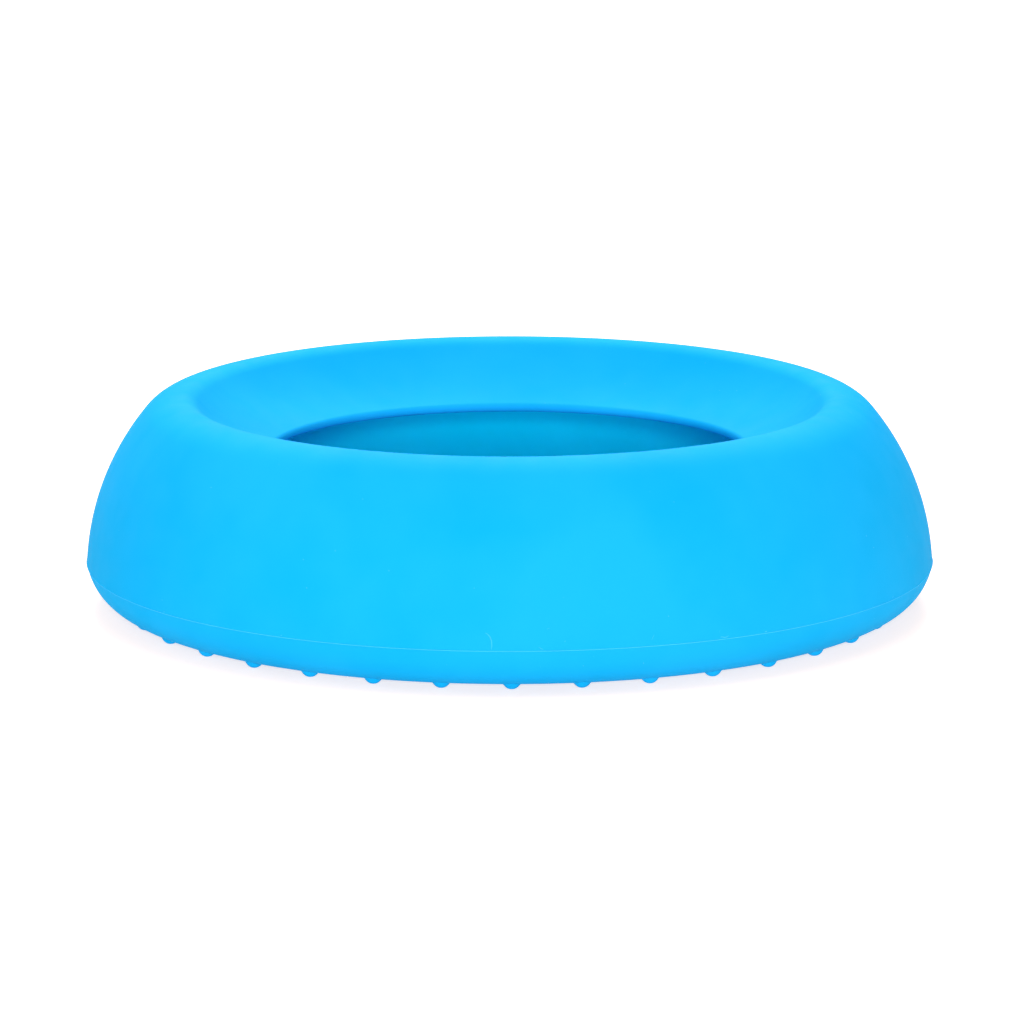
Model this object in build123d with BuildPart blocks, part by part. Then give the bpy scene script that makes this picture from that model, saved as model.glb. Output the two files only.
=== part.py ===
"""Soft anti-splash travel bowl: one silicone moulding, built as the zones that hold still, bend or move.

Units are millimetres. +Z is up, and the origin is on the surface the bowl stands on, under its centre.
The shell is drawn in the XZ half plane as arcs that run tangent into each other: heel, wall, shoulder,
crest and anti-splash lip. Both skins of an arc share its centre. Level cuts part the zones that move.
"""

import os
from math import asin, cos, degrees, radians, sin

from build123d import *

# Driving dimensions
SHELL_THICKNESS = 2.6
OUTER_RADIUS = 108.0  # the widest circle, at the mould's split line
SPLIT_LEVEL = 11.8  # height of the split line
UNDERSIDE_LEVEL = 0.9  # height of the flat underside above the stud tips
FLAT_RADIUS = 95.2  # the underside is flat out to here
WALL_LEAN = 3.3  # degrees that the wall leans in where it leaves the split line
WALL_RADIUS = 64.7
SHOULDER_RADIUS = 12.5  # outer half of the rim
CREST_RADIUS = 5.7  # inner half of the rim
LIP_RADIUS = 47.5  # hollow curve of the anti-splash lip
WALL_END = 39.7  # degrees round the wall's arc where the shoulder takes over
CREST_TOP = 90.0
CREST_END = 137.9  # degrees round the crest's arc where the lip takes over
LIP_END = -67.7  # degrees round the lip's arc where its round edge takes over
RIM_LEVEL = 46.7  # the rim moves as one from here up
LIP_LEVEL = 49.7  # the lip bends below this level
EDGE_LEVEL = 41.7  # the lip's edge moves as one from here down
SOFT_GAP = 0.3  # left where a zone that changes shape meets a moving one
FLASH_RADIUS = 0.3  # bead of flash along the split line
FLASH_PROUD = 0.25
STUD_COUNT = 36
STUD_RING_RADIUS = 97.4
STUD_RADIUS = 2.3
STUD_TIP_DEPTH = 0.12  # how much of each dome its flat tip takes off


def direction(angle):
    """Unit vector in the section plane, its angle in degrees from +X towards +Z."""
    return Vector(cos(radians(angle)), sin(radians(angle)))


def angle_at_level(centre, radius, level):
    """Degrees round an arc to where it crosses a level, on the side away from the axis."""
    return degrees(asin((level - centre.Y) / radius))


def level_point(centre, radius, level):
    return centre + radius * direction(angle_at_level(centre, radius, level))


def arc(centre, radius, start, end):
    CenterArc(centre, radius, start, end - start)


def bending_zone(centre, outer_radius, inner_radius, start_level, end_level):
    """Closed outline of the shell between two levels, along one arc."""
    for radius in (outer_radius, inner_radius):
        start = angle_at_level(centre, radius, start_level)
        end = angle_at_level(centre, radius, end_level)
        arc(centre, radius, start, end)
    for level in (start_level, end_level):
        Line(level_point(centre, outer_radius, level), level_point(centre, inner_radius, level))


# The inner skin's radii, and the radius of the lip's fully rounded edge
wall_inner = WALL_RADIUS - SHELL_THICKNESS
shoulder_inner = SHOULDER_RADIUS - SHELL_THICKNESS
crest_inner = CREST_RADIUS - SHELL_THICKNESS
lip_inner = LIP_RADIUS + SHELL_THICKNESS
edge_radius = SHELL_THICKNESS / 2

# Centres of the arcs, each where its arc runs tangent into the one before
split_point = Vector(OUTER_RADIUS, SPLIT_LEVEL)
wall_centre = split_point - WALL_RADIUS * direction(WALL_LEAN)
shoulder_centre = wall_centre + (WALL_RADIUS - SHOULDER_RADIUS) * direction(WALL_END)
crest_centre = shoulder_centre + (SHOULDER_RADIUS - CREST_RADIUS) * direction(CREST_TOP)
lip_centre = crest_centre + (CREST_RADIUS + LIP_RADIUS) * direction(CREST_END)
edge_centre = lip_centre + (LIP_RADIUS + edge_radius) * direction(LIP_END)
lip_start = CREST_END - 180.0  # the same direction, seen from the lip's centre

# Flat floor of the bowl
with BuildPart() as floor_disc:
    with BuildSketch(Plane.XY.offset(UNDERSIDE_LEVEL)):
        Circle(FLAT_RADIUS)
    extrude(amount=SHELL_THICKNESS)

# Rounded lower corner up to the split line, with its bead of flash
heel_start = Vector(FLAT_RADIUS, UNDERSIDE_LEVEL)
heel_start_inside = Vector(FLAT_RADIUS, UNDERSIDE_LEVEL + SHELL_THICKNESS)
split_point_inside = level_point(wall_centre, wall_inner, SPLIT_LEVEL)
with BuildPart() as heel_ring:
    with BuildSketch(Plane.XZ):
        with BuildLine():
            TangentArc(heel_start, split_point, tangent=direction(0.0))
            TangentArc(heel_start_inside, split_point_inside, tangent=direction(0.0))
            Line(heel_start, heel_start_inside)
            Line(split_point, split_point_inside)
        make_face()
        with Locations((OUTER_RADIUS + FLASH_PROUD - FLASH_RADIUS, SPLIT_LEVEL - FLASH_RADIUS)):
            Circle(FLASH_RADIUS)
    revolve(axis=Axis.Z)

# Anti-slip domes that the bowl stands on, each with a small flat at its tip
with BuildPart() as foot_studs:
    with Locations((0, 0, STUD_RADIUS - STUD_TIP_DEPTH)):
        with PolarLocations(STUD_RING_RADIUS, STUD_COUNT, start_angle=-90):
            Sphere(STUD_RADIUS, arc_size1=-90, arc_size2=0, align=None)
    below = (Align.CENTER, Align.CENTER, Align.MAX)
    Cylinder(OUTER_RADIUS, STUD_RADIUS, align=below, mode=Mode.SUBTRACT)
    add(heel_ring.part, mode=Mode.SUBTRACT)
    add(floor_disc.part, mode=Mode.SUBTRACT)

# Side wall, which bows and shortens when the rim is pressed down
with BuildPart() as outer_wall:
    with BuildSketch(Plane.XZ):
        with BuildLine():
            bending_zone(wall_centre, WALL_RADIUS, wall_inner, SPLIT_LEVEL, RIM_LEVEL - SOFT_GAP)
        make_face()
    revolve(axis=Axis.Z)

# Rolled rim, the stiffest ring of the bowl, from the top of the wall over to the top of the lip
with BuildPart() as rim_roll:
    with BuildSketch(Plane.XZ):
        with BuildLine():
            for radius in (WALL_RADIUS, wall_inner):
                arc(wall_centre, radius, angle_at_level(wall_centre, radius, RIM_LEVEL), WALL_END)
            for radius in (SHOULDER_RADIUS, shoulder_inner):
                arc(shoulder_centre, radius, WALL_END, CREST_TOP)
            for radius in (CREST_RADIUS, crest_inner):
                arc(crest_centre, radius, CREST_TOP, CREST_END)
            for radius in (LIP_RADIUS, lip_inner):
                arc(lip_centre, radius, lip_start, angle_at_level(lip_centre, radius, LIP_LEVEL))
            rim_end_outside = level_point(wall_centre, WALL_RADIUS, RIM_LEVEL)
            Line(rim_end_outside, level_point(wall_centre, wall_inner, RIM_LEVEL))
            rim_end_inside = level_point(lip_centre, LIP_RADIUS, LIP_LEVEL)
            Line(rim_end_inside, level_point(lip_centre, lip_inner, LIP_LEVEL))
        make_face()
    revolve(axis=Axis.Z)

# Anti-splash lip, a skirt that slopes down and in from the rim and flexes
with BuildPart() as splash_lip:
    with BuildSketch(Plane.XZ):
        with BuildLine():
            bending_zone(lip_centre, LIP_RADIUS, lip_inner, LIP_LEVEL, EDGE_LEVEL + SOFT_GAP)
        make_face()
    revolve(axis=Axis.Z)

# Fully rounded edge of the lip, around the mouth
with BuildPart() as lip_bead:
    with BuildSketch(Plane.XZ):
        with BuildLine():
            for radius in (LIP_RADIUS, lip_inner):
                arc(lip_centre, radius, angle_at_level(lip_centre, radius, EDGE_LEVEL), LIP_END)
            edge_point = level_point(lip_centre, LIP_RADIUS, EDGE_LEVEL)
            Line(edge_point, level_point(lip_centre, lip_inner, EDGE_LEVEL))
            lip_end_point = lip_centre + LIP_RADIUS * direction(LIP_END)
            Line(lip_end_point, lip_centre + lip_inner * direction(LIP_END))
        make_face()
        with Locations(edge_centre):
            Circle(edge_radius)
    revolve(axis=Axis.Z)

floor_disc.part.label = "floor_disc"
heel_ring.part.label = "heel_ring"
foot_studs.part.label = "foot_studs"
outer_wall.part.label = "outer_wall"
rim_roll.part.label = "rim_roll"
splash_lip.part.label = "splash_lip"
lip_bead.part.label = "lip_bead"

os.makedirs("parts", exist_ok=True)
export_step(floor_disc.part, "parts/floor_disc.step")
export_step(heel_ring.part, "parts/heel_ring.step")
export_step(foot_studs.part, "parts/foot_studs.step")
export_step(outer_wall.part, "parts/outer_wall.step")
export_step(rim_roll.part, "parts/rim_roll.step")
export_step(splash_lip.part, "parts/splash_lip.step")
export_step(lip_bead.part, "parts/lip_bead.step")
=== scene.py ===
import math

import bpy
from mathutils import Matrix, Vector, noise


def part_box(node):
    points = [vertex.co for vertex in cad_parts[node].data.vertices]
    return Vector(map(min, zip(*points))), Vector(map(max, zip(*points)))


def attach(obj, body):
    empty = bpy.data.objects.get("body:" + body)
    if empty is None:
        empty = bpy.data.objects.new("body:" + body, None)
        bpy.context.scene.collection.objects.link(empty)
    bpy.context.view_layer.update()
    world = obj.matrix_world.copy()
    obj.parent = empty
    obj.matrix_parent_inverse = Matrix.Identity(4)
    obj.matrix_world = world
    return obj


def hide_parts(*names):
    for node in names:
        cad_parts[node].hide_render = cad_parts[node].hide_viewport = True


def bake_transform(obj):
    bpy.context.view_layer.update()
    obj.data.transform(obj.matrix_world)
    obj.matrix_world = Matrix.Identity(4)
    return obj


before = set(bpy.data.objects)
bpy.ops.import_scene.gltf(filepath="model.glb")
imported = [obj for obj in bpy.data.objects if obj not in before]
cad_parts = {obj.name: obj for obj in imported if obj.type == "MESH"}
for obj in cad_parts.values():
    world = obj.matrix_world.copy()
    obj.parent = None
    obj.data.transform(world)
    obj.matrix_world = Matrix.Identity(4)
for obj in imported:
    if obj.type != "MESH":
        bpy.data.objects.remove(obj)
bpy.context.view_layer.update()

# The shell's section as part.py has it. Lengths are in metres and angles in degrees.
SHELL = 0.0026
OUTER_R = 0.108
SPLIT_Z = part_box("outer_wall")[0].z
UNDER_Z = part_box("floor_disc")[0].z
FLAT_R = 0.0952
WALL_LEAN = 3.3
WALL_R = 0.0647
SHOULDER_R = 0.0125
CREST_R = 0.0057
LIP_R = 0.0475
EDGE_R = SHELL / 2
WALL_END = 39.7
CREST_TOP = 90.0
CREST_END = 137.9
LIP_START = CREST_END - 180.0
LIP_END = -67.7
RIM_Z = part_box("rim_roll")[0].z
LIP_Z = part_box("splash_lip")[1].z
EDGE_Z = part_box("lip_bead")[1].z

# Steps of the meshes
AROUND = 360  # steps round the bowl
ARC_STEP = 0.0008  # longest step along an arc
TURN_STEP = 4.0  # largest turn of one step
FLOOR_STEPS = 34  # steps from the floor's middle to its rim

# Small waves of a soft moulding, which keep it from a true surface of revolution
WAVE_SCALE = 22.0
WAVE_HEIGHT = 0.00012
WAVE_START_Z = UNDER_Z + 0.0005  # the underside stays flat

# The bead of flash along the split line. Each point has its depth below the line and its share of the
# bead's height.
FLASH_SECTION = (
    (0.00042, 0.0),
    (0.00035, 0.25),
    (0.00027, 0.75),
    (0.00018, 1.0),
    (0.0001, 0.75),
    (0.00004, 0.25),
    (0.0, 0.0),
)
FLASH_HEIGHT = 0.00015
FLASH_SLOW_CHANGE = 0.00008  # how far the height wanders round the bowl, slowly and quickly
FLASH_QUICK_CHANGE = 0.00005
FLASH_SLOW_SCALE = 9.0
FLASH_QUICK_SCALE = 60.0
FLASH_ROOM = 0.0008  # the heel's own arc stops this far below the line
HEEL_SLOPE = 0.04  # how fast the heel draws in just below the line

# Anti-slip studs
STUD_COUNT = 36
STUD_RING_R = 0.0974
STUD_R = 0.0023
STUD_TIP_DEPTH = 0.00012
STUD_STEPS = 32  # steps round one stud
STUD_FILLET = 0.00022  # softens the corner between stud and heel
STUD_SKIRT_SLOPE = 6.0  # how steeply the stud's surface goes on up past its widest circle
STUD_SKIRT_START = 0.995  # share of the stud's radius where that slope starts
STUD_SINK = 0.00002  # how far the outermost ring goes into the heel
STUD_ROOT = 0.0006  # height of the stud's hidden top above the heel's surface
# Distances of a stud's rings of points from the stud's axis, closest where the surface turns most
STUD_RINGS = (
    0.0003, 0.0006, 0.00074, 0.0009, 0.0011, 0.0013, 0.0015, 0.00168,
    0.00183, 0.00197, 0.0021, 0.00222, 0.00238, 0.0026, 0.0029,
)

# Hairs of flash that lie on the wall above the split line. Each is a path of (degrees round from the
# front, millimetres above the split line) and the hair's half width in millimetres.
FLASH_HAIRS = (
    (((-2.62, 0.1), (-2.55, 1.2), (-2.60, 2.4), (-2.80, 3.3), (-3.15, 4.0), (-3.40, 4.2)), 0.15),
    (((4.0, 0.15), (3.6, 0.5), (3.4, 0.8)), 0.08),
    (((4.4, 5.0), (4.8, 5.3)), 0.06),
    (((6.6, 1.9), (6.85, 2.2)), 0.06),
    (((18.0, 1.2), (18.2, 2.0), (18.4, 2.6)), 0.05),
    (((27.6, 0.25), (27.8, 0.45), (28.2, 0.2), (28.6, 0.3), (28.9, 0.6)), 0.13),
    (((27.5, 1.0), (27.6, 2.6)), 0.05),
    (((34.4, 0.15), (34.8, 0.25)), 0.17),
    (((34.4, 0.9), (34.4, 2.4)), 0.06),
    (((-31.0, 0.2), (-30.7, 0.4)), 0.08),
    (((-52.0, 0.2), (-51.7, 0.4)), 0.10),
    (((61.0, 0.3), (61.3, 0.7)), 0.08),
)
HAIR_SIDES = 8
HAIR_STEPS = 4  # steps between two points of a hair's path
HAIR_FLATNESS = 0.7  # height over width
HAIR_END = 0.2  # width of a hair's end over its middle

# Silicone. Texture scales are per metre.
OUTSIDE_BLUE = (0.003, 0.347, 0.72)
INSIDE_PAINTED_LIGHT_BLUE = (0.0, 0.70, 0.96)  # painted light: lighter than the outside blue, standing in for the light that comes through the wall and brightening the shade inside the bowl
FLASH_AND_HIGHLIGHT_BLUE = (0.035, 0.43, 0.80)  # flash: the paler blue of thin silicone on the hairs, and on the crest of the split line's bead a painted highlight
DUST_BLUE = (0.30, 0.62, 0.90)
CLOUD_SCALE = 28.0
DUST_SCALE = 170.0
PATCH_SCALE = 160.0
RIPPLE_SCALE = 300.0
GRAIN_SCALE = 2600.0
DUST_FADE = (0.012, 0.03)  # distance from a speck's middle where it starts and stops fading
DUST_COVER = 0.22
ROUGHNESS = (0.66, 0.78)
RIPPLE_SHARE = 1.5  # height of the ripple over the grain's
BUMP_STRENGTH = 0.25
BUMP_DISTANCE = 0.00004
SILICONE_IOR = 1.41
SPECULAR_LEVEL = 0.03
INSIDE = 1  # material slots of a shell piece
FLASH_AND_HIGHLIGHT = 2

# Studio. Softboxes are: name, azimuth, elevation, distance, width, height, power.
# Azimuth 0 is the front, and 90 the object's right side.
FLOOR_EXTENT = 12.0
FLOOR_COLOUR = (0.60, 0.47, 0.39)
FLOOR_GLOW_COLOUR = (1.0, 0.88, 0.86)
FLOOR_GLOW = 0.7
WORLD_STRENGTH = 0.35
SOFTBOXES = (
    ("strip_low", -1.0, 9.9, 2.2, 0.8, 0.2, 21.0),
    ("strip", 0.0, 15.5, 2.2, 0.6, 0.2, 16.5),
    ("side_left", -100.0, 14.0, 1.8, 0.9, 0.9, 7.0),
    ("side_right", 100.0, 14.0, 1.8, 0.9, 0.9, 6.0),
    ("high_left", -60.0, 50.0, 1.8, 1.0, 1.0, 2.4),
    ("top", 0.0, 88.0, 1.7, 1.4, 1.4, 12.0),
    ("high_back", 180.0, 45.0, 2.0, 1.2, 1.2, 45.0),
)

CAMERA_AIM = Vector((0.00062, 0.0, 0.0231))
CAMERA_AZIMUTH = -0.33
CAMERA_ELEVATION = 11.70
CAMERA_DISTANCE = 1.476
CAMERA_LENS = 202.9
SENSOR_WIDTH = 36.0


# ---- section geometry: points are (r, z) ----

def ray(angle):
    return Vector((math.cos(math.radians(angle)), math.sin(math.radians(angle))))


def level_angle(centre, radius, z):
    """Degrees round an arc to where it crosses height z, on the side away from the axis."""
    return math.degrees(math.asin((z - centre.y) / radius))


def angle_of(centre, point):
    """Degrees round from a centre to a point."""
    return math.degrees(math.atan2(point.y - centre.y, point.x - centre.x))


def arc(centre, radius, start, end):
    """Evenly spaced points along an arc, both ends included."""
    turn = abs(end - start)
    steps = max(2, math.ceil(max(math.radians(turn) * radius / ARC_STEP, turn / TURN_STEP)))
    return [centre + radius * ray(start + (end - start) * i / steps) for i in range(steps + 1)]


def line(start, end, steps):
    return [start.lerp(end, i / steps) for i in range(steps + 1)]


def level_start_arc(start, end):
    """Centre and radius of the arc that leaves start level, outwards, and passes through end."""
    rise = end.y - start.y
    run = end.x - start.x
    radius = (run * run + rise * rise) / (2 * rise)
    return Vector((start.x, start.y + radius)), radius


def zone(centre, outer_r, inner_r, start_z, end_z):
    """Points of the outer skin and of the inner skin of one arc, between two levels."""
    return tuple(
        arc(centre, r, level_angle(centre, r, start_z), level_angle(centre, r, end_z))
        for r in (outer_r, inner_r)
    )


split_point = Vector((OUTER_R, SPLIT_Z))
wall_centre = split_point - WALL_R * ray(WALL_LEAN)
shoulder_centre = wall_centre + (WALL_R - SHOULDER_R) * ray(WALL_END)
crest_centre = shoulder_centre + (SHOULDER_R - CREST_R) * ray(CREST_TOP)
lip_centre = crest_centre + (CREST_R + LIP_R) * ray(CREST_END)
edge_centre = lip_centre + (LIP_R + EDGE_R) * ray(LIP_END)

wall_inner = WALL_R - SHELL
split_inside = wall_centre + wall_inner * ray(level_angle(wall_centre, wall_inner, SPLIT_Z))
heel_start = Vector((FLAT_R, UNDER_Z))
heel_start_inside = Vector((FLAT_R, UNDER_Z + SHELL))
heel_centre, heel_radius = level_start_arc(heel_start, split_point)
heel_centre_inside, heel_radius_inside = level_start_arc(heel_start_inside, split_inside)


# ---- materials ----

def silicone(name, tint, dust=True):
    """Matte moulded silicone: cloudy tint, fine grain and, on most surfaces, specks of dust."""
    material = bpy.data.materials.new(name)
    material.use_nodes = True
    nodes, links = material.node_tree.nodes, material.node_tree.links
    shader = nodes["Principled BSDF"]
    coords = nodes.new("ShaderNodeTexCoord")

    def texture(kind, scale, **settings):
        node = nodes.new(kind)
        links.new(coords.outputs["Object"], node.inputs["Vector"])
        node.inputs["Scale"].default_value = scale
        for key, value in settings.items():
            node.inputs[key].default_value = value
        return node

    def mix(factor, a, b):
        node = nodes.new("ShaderNodeMix")
        node.data_type = "RGBA"
        links.new(factor, node.inputs["Factor"])
        for socket, value in ((node.inputs["A"], a), (node.inputs["B"], b)):
            if isinstance(value, tuple):
                socket.default_value = (*value, 1.0)
            else:
                links.new(value, socket)
        return node.outputs["Result"]

    def span(value, low, high, to_low, to_high):
        node = nodes.new("ShaderNodeMapRange")
        links.new(value, node.inputs["Value"])
        for key, number in (("From Min", low), ("From Max", high), ("To Min", to_low), ("To Max", to_high)):
            node.inputs[key].default_value = number
        return node.outputs["Result"]

    cloud = texture("ShaderNodeTexNoise", CLOUD_SCALE, Detail=3.0)
    lighter = tuple(min(1.0, c * 1.03 + 0.004) for c in tint)
    darker = tuple(c * 0.98 for c in tint)
    colour = mix(span(cloud.outputs["Fac"], 0.35, 0.65, 0.0, 1.0), darker, lighter)
    if dust:
        speck = texture("ShaderNodeTexVoronoi", DUST_SCALE)
        cover = span(speck.outputs["Distance"], *DUST_FADE, DUST_COVER, 0.0)
        colour = mix(cover, colour, DUST_BLUE)
    links.new(colour, shader.inputs["Base Color"])

    patch = texture("ShaderNodeTexNoise", PATCH_SCALE, Detail=4.0)
    links.new(span(patch.outputs["Fac"], 0.3, 0.7, *ROUGHNESS), shader.inputs["Roughness"])

    grain = texture("ShaderNodeTexNoise", GRAIN_SCALE, Detail=2.0)
    ripple = texture("ShaderNodeTexNoise", RIPPLE_SCALE, Detail=2.0)
    height = nodes.new("ShaderNodeMath")
    height.operation = "MULTIPLY_ADD"
    links.new(ripple.outputs["Fac"], height.inputs[0])
    height.inputs[1].default_value = RIPPLE_SHARE
    links.new(grain.outputs["Fac"], height.inputs[2])
    bump = nodes.new("ShaderNodeBump")
    bump.inputs["Strength"].default_value = BUMP_STRENGTH
    bump.inputs["Distance"].default_value = BUMP_DISTANCE
    links.new(height.outputs["Value"], bump.inputs["Height"])
    links.new(bump.outputs["Normal"], shader.inputs["Normal"])

    shader.inputs["IOR"].default_value = SILICONE_IOR
    shader.inputs["Specular IOR Level"].default_value = SPECULAR_LEVEL
    return material


outside = silicone("matte_silicone", OUTSIDE_BLUE)
# The inner skins get a lighter copy of the blue: painted light for the light that comes through the wall.
inside = silicone("matte_silicone_inside_painted_light", INSIDE_PAINTED_LIGHT_BLUE)
# Paler flash blue: thin silicone on the hairs, and a painted highlight on the crest of the split line's
# bead.
flash_and_highlight = silicone("matte_silicone_flash_and_highlight", FLASH_AND_HIGHLIGHT_BLUE, dust=False)


# ---- meshes ----

def mesh_object(name, verts, faces, materials, sharp_edges=()):
    """Smooth-shaded object, with the sharp edges given as sorted pairs of vertices."""
    mesh = bpy.data.meshes.new(name)
    mesh.from_pydata(verts, [], faces)
    mesh.validate()
    mesh.update()
    mesh.polygons.foreach_set("use_smooth", [True] * len(mesh.polygons))
    if sharp_edges:
        marks = mesh.attributes.new("sharp_edge", "BOOLEAN", "EDGE")
        for edge in mesh.edges:
            if tuple(sorted(edge.vertices)) in sharp_edges:
                marks.data[edge.index].value = True
    for material in materials:
        mesh.materials.append(material)
    piece = bpy.data.objects.new(name, mesh)
    bpy.context.scene.collection.objects.link(piece)
    return piece


def wavy(x, y, z):
    """A point of the shell, moved out or in by the moulding's small waves."""
    if z <= WAVE_START_Z:
        return x, y, z
    grow = 1 + WAVE_HEIGHT * noise.noise(Vector((x, y, z)) * WAVE_SCALE) / math.hypot(x, y)
    return x * grow, y * grow, z


def revolved(name, outline, corners, materials, swell=None):
    """Closed mesh swept round the axis, from a closed outline or from one with both ends on the axis.

    corners are the indices of the outline's points with a sharp edge, and swell(index, angle) adds to a
    point's radius.
    """
    verts = []
    rings = []
    for index, point in enumerate(outline):
        ring = [len(verts)]
        if point.x == 0:
            verts.append((0.0, 0.0, point.y))
        else:
            ring = list(range(len(verts), len(verts) + AROUND))
            for step in range(AROUND):
                angle = 2 * math.pi * step / AROUND
                r = point.x + (swell(index, angle) if swell else 0.0)
                verts.append(wavy(r * math.cos(angle), r * math.sin(angle), point.y))
        rings.append(ring)

    pairs = list(zip(rings, rings[1:]))
    if outline[0].x > 0:
        pairs.append((rings[-1], rings[0]))
    faces = []
    for a, b in pairs:
        for step in range(AROUND):
            after = (step + 1) % AROUND
            if len(a) == 1:
                faces.append((a[0], b[after], b[step]))
            elif len(b) == 1:
                faces.append((a[step], a[after], b[0]))
            else:
                faces.append((a[step], a[after], b[after], b[step]))

    sharp = set()
    for index in corners:
        ring = rings[index]
        sharp.update(tuple(sorted((ring[step], ring[(step + 1) % AROUND]))) for step in range(AROUND))
    return mesh_object(name, verts, faces, materials, sharp)


def shell_ring(name, outer, inner, materials=(outside, inside), **settings):
    """Ring between the points of the outer skin and of the inner skin, with its four corners sharp."""
    outline = outer + inner[::-1]
    corners = [0, len(outer) - 1, len(outer), len(outline) - 1]
    piece = revolved(name, outline, corners, materials, **settings)
    # The inner skin's faces take the lighter inside blue, which is painted light.
    line_segments(piece, len(outer), len(outline) - 2, INSIDE)
    return piece


def line_segments(piece, first, last, slot):
    """Gives the faces from one segment of the outline to another a material slot."""
    for face in piece.data.polygons:
        if first <= face.index // AROUND <= last:
            face.material_index = slot


def make_floor():
    middle = Vector((0, UNDER_Z))
    middle_inside = Vector((0, UNDER_Z + SHELL))
    outline = line(middle, heel_start, FLOOR_STEPS) + line(heel_start_inside, middle_inside, FLOOR_STEPS)
    return revolved("bowl_floor", outline, [FLOOR_STEPS, FLOOR_STEPS + 1], [outside])


def make_heel():
    """The rounded lower corner, with an uneven bead of flash along its top edge, whose crest carries a
    painted highlight.
    """
    outer = arc(heel_centre, heel_radius, -90, angle_of(heel_centre, split_point))
    outer = [point for point in outer if point.y < SPLIT_Z - FLASH_ROOM]
    flash_start = len(outer)
    outer += [Vector((OUTER_R - depth * HEEL_SLOPE, SPLIT_Z - depth)) for depth, _ in FLASH_SECTION]
    inner = arc(heel_centre_inside, heel_radius_inside, -90, angle_of(heel_centre_inside, split_inside))

    def flash(index, angle):
        if not 0 <= index - flash_start < len(FLASH_SECTION):
            return 0.0
        where = Vector((math.cos(angle), math.sin(angle), 0.0))
        slow = FLASH_SLOW_CHANGE * noise.noise(where * FLASH_SLOW_SCALE)
        quick = FLASH_QUICK_CHANGE * noise.noise(where * FLASH_QUICK_SCALE)
        return FLASH_SECTION[index - flash_start][1] * (FLASH_HEIGHT + slow + quick)

    piece = shell_ring("bowl_heel", outer, inner, (outside, inside, flash_and_highlight), swell=flash)
    # The bead's crest faces take the paler flash blue as a painted highlight, where the flash catches the
    # light.
    line_segments(piece, flash_start + 2, flash_start + 3, FLASH_AND_HIGHLIGHT)
    return piece


def make_rim():
    skins = []
    for depth in (0.0, SHELL):
        wall_r, lip_r = WALL_R - depth, LIP_R + depth
        skin = arc(wall_centre, wall_r, level_angle(wall_centre, wall_r, RIM_Z), WALL_END)
        skin += arc(shoulder_centre, SHOULDER_R - depth, WALL_END, CREST_TOP)[1:]
        skin += arc(crest_centre, CREST_R - depth, CREST_TOP, CREST_END)[1:]
        skin += arc(lip_centre, lip_r, LIP_START, level_angle(lip_centre, lip_r, LIP_Z))[1:]
        skins.append(skin)
    return shell_ring("bowl_rim", *skins)


def make_lip_edge():
    """The end of the lip, with a full round whose last steps face into the bowl."""
    round_steps_inside = 8
    top = arc(lip_centre, LIP_R, level_angle(lip_centre, LIP_R, EDGE_Z), LIP_END)
    under_r = LIP_R + SHELL
    under = arc(lip_centre, under_r, level_angle(lip_centre, under_r, EDGE_Z), LIP_END)
    top += arc(edge_centre, EDGE_R, LIP_END + 180.0, LIP_END + 360.0)[1:-1]
    outline = top + under[::-1]
    piece = revolved("splash_lip_edge", outline, [0, len(outline) - 1], (outside, inside))
    line_segments(piece, len(top) - round_steps_inside, len(outline) - 2, INSIDE)
    return piece


def wall_point(turn, rise):
    """A point on the wall's outer skin and the direction out of it, at degrees round from the front and
    millimetres above the split line."""
    z = SPLIT_Z + rise / 1000
    lean = level_angle(wall_centre, WALL_R, z)
    r = (wall_centre + WALL_R * ray(lean)).x
    azimuth = math.radians(turn - 90)
    out = Vector((math.cos(azimuth), math.sin(azimuth), 0))
    normal = out * math.cos(math.radians(lean)) + Vector((0, 0, math.sin(math.radians(lean))))
    return out * r + Vector((0, 0, z)), normal


def make_hairs():
    verts, faces = [], []
    for path, half_width in FLASH_HAIRS:
        knots = [wall_point(*knot) for knot in path]
        steps = HAIR_STEPS * (len(knots) - 1)
        first = len(verts)
        for step in range(steps + 1):
            index = min(step // HAIR_STEPS, len(knots) - 2)
            share = step / HAIR_STEPS - index
            (here, normal), (ahead, normal_ahead) = knots[index], knots[index + 1]
            middle = here.lerp(ahead, share)
            normal = normal.lerp(normal_ahead, share).normalized()
            across = normal.cross((ahead - here).normalized())
            taper = math.sqrt(max(HAIR_END ** 2, 1 - (2 * step / steps - 1) ** 2))
            reach = half_width / 1000 * taper
            for side in range(HAIR_SIDES):
                angle = 2 * math.pi * side / HAIR_SIDES
                sideways = across * reach * math.cos(angle)
                verts.append(middle + sideways + normal * reach * HAIR_FLATNESS * math.sin(angle))
        for step in range(steps):
            for side in range(HAIR_SIDES):
                a = first + step * HAIR_SIDES + side
                b = first + step * HAIR_SIDES + (side + 1) % HAIR_SIDES
                faces.append((a, b, b + HAIR_SIDES, a + HAIR_SIDES))
        last = first + steps * HAIR_SIDES
        faces.append(tuple(first + side for side in reversed(range(HAIR_SIDES))))
        faces.append(tuple(last + side for side in range(HAIR_SIDES)))
    return mesh_object("flash_hairs", verts, faces, [flash_and_highlight])


def heel_z(r):
    """Height of the underside's surface at a radius."""
    if r <= FLAT_R:
        return UNDER_Z
    return heel_centre.y - math.sqrt(heel_radius ** 2 - (r - FLAT_R) ** 2)


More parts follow.
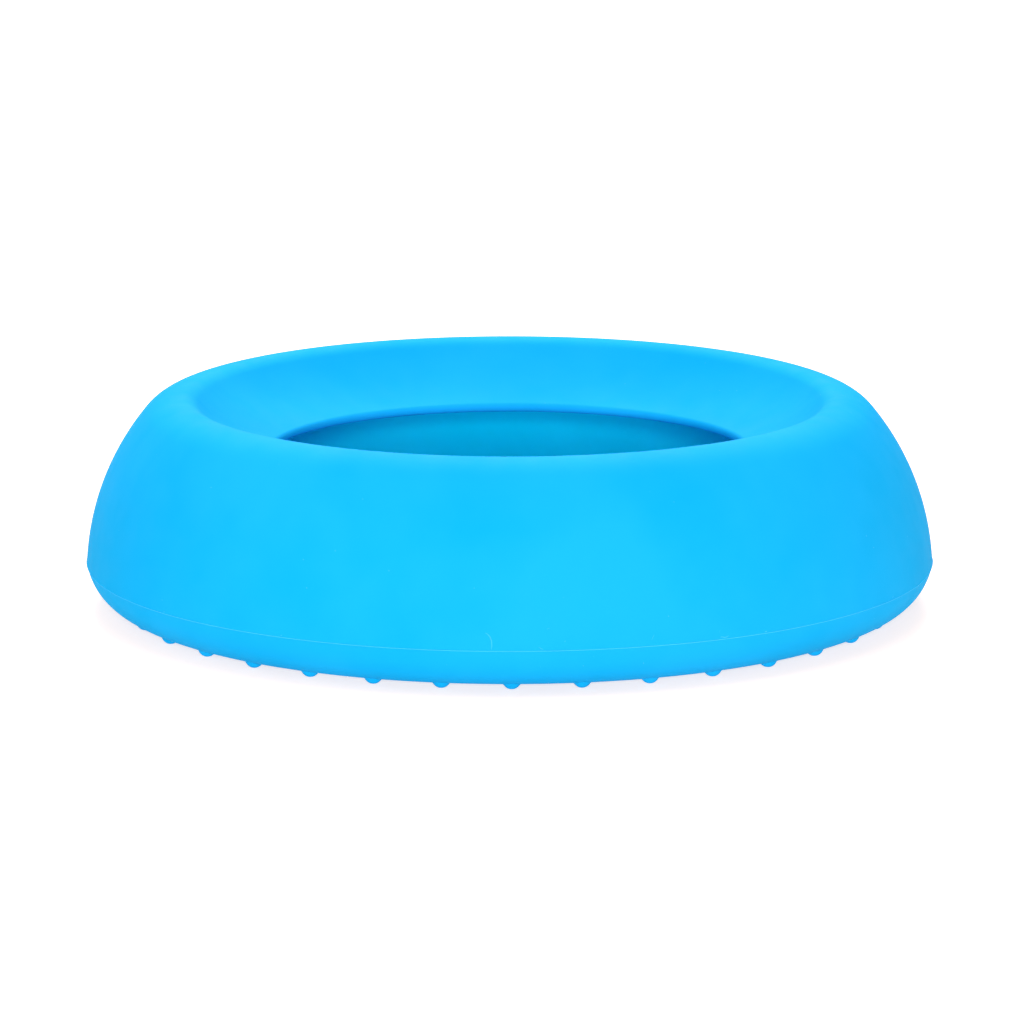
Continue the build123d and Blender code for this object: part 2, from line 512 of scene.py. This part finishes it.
def stud_z(across, r):
    """Height of a stud's surface at a distance from the stud's axis and at a radius from the bowl's."""
    if across < STUD_R * STUD_SKIRT_START:
        dome = STUD_R - STUD_TIP_DEPTH - math.sqrt(STUD_R ** 2 - across ** 2)
    else:
        dome = STUD_R - STUD_TIP_DEPTH + (across - STUD_R * STUD_SKIRT_START) * STUD_SKIRT_SLOPE
    drop = heel_z(r) - max(dome, 0.0)
    drop = (drop + math.sqrt(drop * drop + STUD_FILLET * STUD_FILLET)) / 2
    sink = STUD_SINK if across == STUD_RINGS[-1] else 0.0
    return max(0.0, heel_z(r) - drop + sink)


def make_studs():
    """Domes with a flat tip that flare into the heel."""
    verts, faces = [], []
    for stud in range(STUD_COUNT):
        turn = 2 * math.pi * stud / STUD_COUNT - math.pi / 2
        cx, cy = STUD_RING_R * math.cos(turn), STUD_RING_R * math.sin(turn)
        rings = [[len(verts)] * STUD_STEPS]
        verts.append((cx, cy, 0.0))
        for across in STUD_RINGS:
            rings.append(list(range(len(verts), len(verts) + STUD_STEPS)))
            for step in range(STUD_STEPS):
                angle = 2 * math.pi * step / STUD_STEPS
                x, y = cx + across * math.cos(angle), cy + across * math.sin(angle)
                verts.append((x, y, stud_z(across, math.hypot(x, y))))
        rings.append([len(verts)] * STUD_STEPS)
        verts.append((cx, cy, heel_z(STUD_RING_R) + STUD_ROOT))
        for inner, outer in zip(rings, rings[1:]):
            for step in range(STUD_STEPS):
                after = (step + 1) % STUD_STEPS
                corners = (inner[step], inner[after], outer[after], outer[step])
                # The tip and the top are single points, so a face there has one corner less
                faces.append(tuple(dict.fromkeys(corners)))
    return mesh_object("anti_slip_studs", verts, faces, [outside])


# ---- the bowl ----

floor = make_floor()
heel = make_heel()
wall = shell_ring("bowl_wall", *zone(wall_centre, WALL_R, wall_inner, SPLIT_Z, RIM_Z))
rim = make_rim()
lip = shell_ring("splash_lip_skirt", *zone(lip_centre, LIP_R, LIP_R + SHELL, LIP_Z, EDGE_Z))
lip_edge = make_lip_edge()
hairs = make_hairs()
studs = make_studs()

for piece, node, body in (
    (floor, "floor_disc", "base"),
    (heel, "heel_ring", "base"),
    (studs, "foot_studs", "base"),
    (wall, "outer_wall", None),
    (rim, "rim_roll", "rim"),
    (lip, "splash_lip", None),
    (lip_edge, "lip_bead", "lip_edge"),
):
    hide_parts(node)
    if body:
        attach(piece, body)

# These stretch between two bodies
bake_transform(hairs)
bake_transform(wall)
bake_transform(lip)


# ---- studio ----

def make_paper_floor():
    """A pale floor that glows a little, so that it stays white up to the bowl's soft shadow."""
    paper = bpy.data.materials.new("pale_paper")
    paper.use_nodes = True
    sockets = paper.node_tree.nodes["Principled BSDF"].inputs
    sockets["Base Color"].default_value = (*FLOOR_COLOUR, 1)
    sockets["Roughness"].default_value = 0.9
    sockets["Specular IOR Level"].default_value = 0.1
    sockets["Emission Color"].default_value = (*FLOOR_GLOW_COLOUR, 1)
    sockets["Emission Strength"].default_value = FLOOR_GLOW
    mesh = bpy.data.meshes.new("studio_floor")
    corners = [(x * FLOOR_EXTENT, y * FLOOR_EXTENT, 0) for x, y in ((-1, -1), (1, -1), (1, 1), (-1, 1))]
    mesh.from_pydata(corners, [], [(0, 1, 2, 3)])
    mesh.materials.append(paper)
    ground = bpy.data.objects.new("studio_floor", mesh)
    bpy.context.scene.collection.objects.link(ground)


def direction(azimuth, elevation):
    """Unit vector from the object towards an azimuth and elevation."""
    azimuth, elevation = math.radians(azimuth), math.radians(elevation)
    level = math.cos(elevation)
    return Vector((math.sin(azimuth) * level, -math.cos(azimuth) * level, math.sin(elevation)))


def look_along(target, away):
    """Turns an object so that it looks against a direction."""
    target.rotation_euler = (-away).to_track_quat("-Z", "Y").to_euler()


def softbox(name, azimuth, elevation, distance, width, height, power):
    """An area light that faces the object."""
    light = bpy.data.lights.new(name, "AREA")
    light.shape = "ELLIPSE"
    light.size = width
    light.size_y = height
    light.energy = power
    lamp = bpy.data.objects.new(name, light)
    away = direction(azimuth, elevation)
    lamp.location = away * distance
    look_along(lamp, away)
    bpy.context.scene.collection.objects.link(lamp)


def make_world():
    world = bpy.data.worlds.new("studio")
    bpy.context.scene.world = world
    world.use_nodes = True
    background = world.node_tree.nodes["Background"]
    background.inputs["Color"].default_value = (1, 1, 1, 1)
    background.inputs["Strength"].default_value = WORLD_STRENGTH


def make_camera():
    lens = bpy.data.cameras.new("camera")
    lens.lens = CAMERA_LENS
    lens.sensor_width = SENSOR_WIDTH
    camera = bpy.data.objects.new("camera", lens)
    away = direction(CAMERA_AZIMUTH, CAMERA_ELEVATION)
    camera.location = CAMERA_AIM + CAMERA_DISTANCE * away
    look_along(camera, away)
    bpy.context.scene.collection.objects.link(camera)
    bpy.context.scene.camera = camera


make_paper_floor()
make_world()
for box in SOFTBOXES:
    softbox(*box)
make_camera()
bpy.context.scene.view_settings.view_transform = "Standard"
